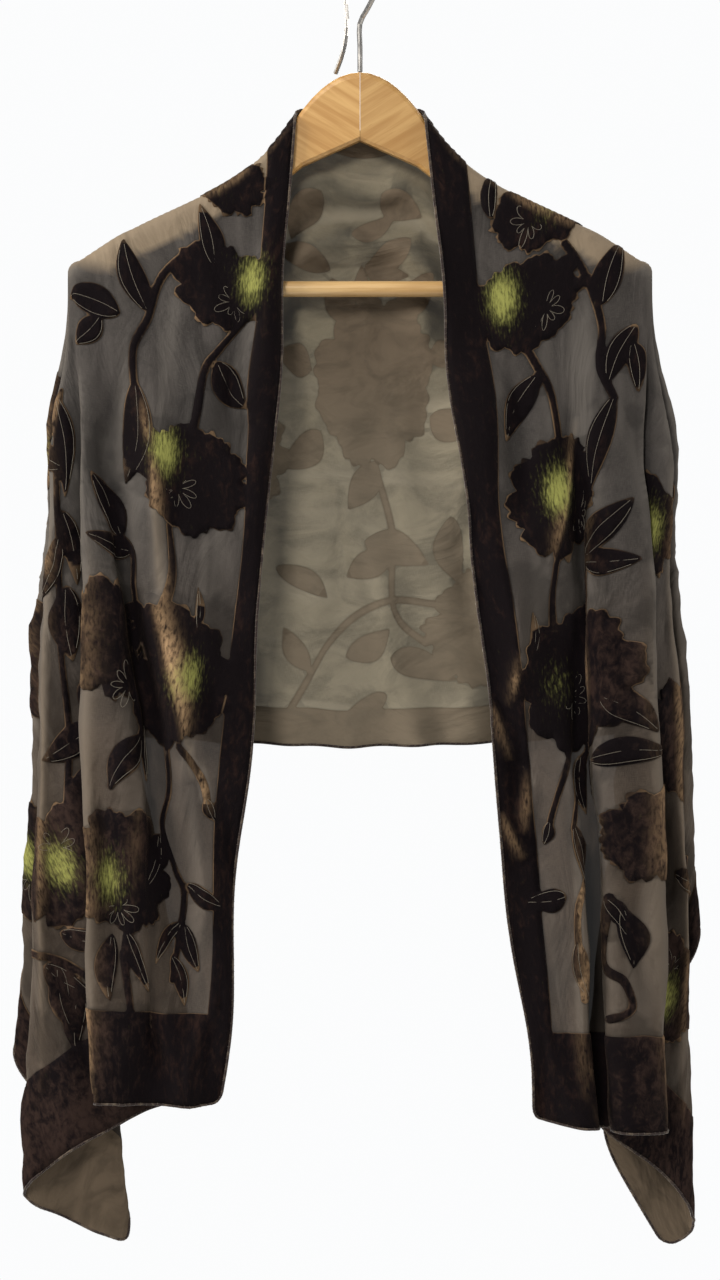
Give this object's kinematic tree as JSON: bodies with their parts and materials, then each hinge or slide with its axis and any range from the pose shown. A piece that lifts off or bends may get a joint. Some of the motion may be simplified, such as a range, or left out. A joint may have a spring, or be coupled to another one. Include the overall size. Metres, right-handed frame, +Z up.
{
  "type": "evening stole on hanger",
  "caption": "Long figured burn-out velvet stole with a solid border, hung over a wooden trouser-bar hanger so that both ends fall in front and fold in cascades at the sides.",
  "frame": {"origin": "inside top of the hook, where a rail carries it", "axes": "+Z up, the front looks along -Y, +X to the right of someone who faces the front"},
  "size_m": [0.5437, 0.0893, 1.011],
  "materials": {
    "figured_velvet": "deep brown velvet pile on a sheer ground",
    "sheer_ground": "sheer olive grey, seen from the wrong side",
    "maple": "clear satin lacquer",
    "pale_wood": "clear satin lacquer",
    "nickel": "polished plate"
  },
  "bodies": {
    "root": {"stole_left_front": "figured_velvet", "stole_left_side": "figured_velvet", "stole_back": "sheer_ground", "stole_right_side": "figured_velvet", "stole_right_front": "figured_velvet", "hanger_left_arm": "maple", "hanger_right_arm": "maple", "hanger_bar": "pale_wood", "hanger_hook": "nickel"}
  },
  "joints": []
}
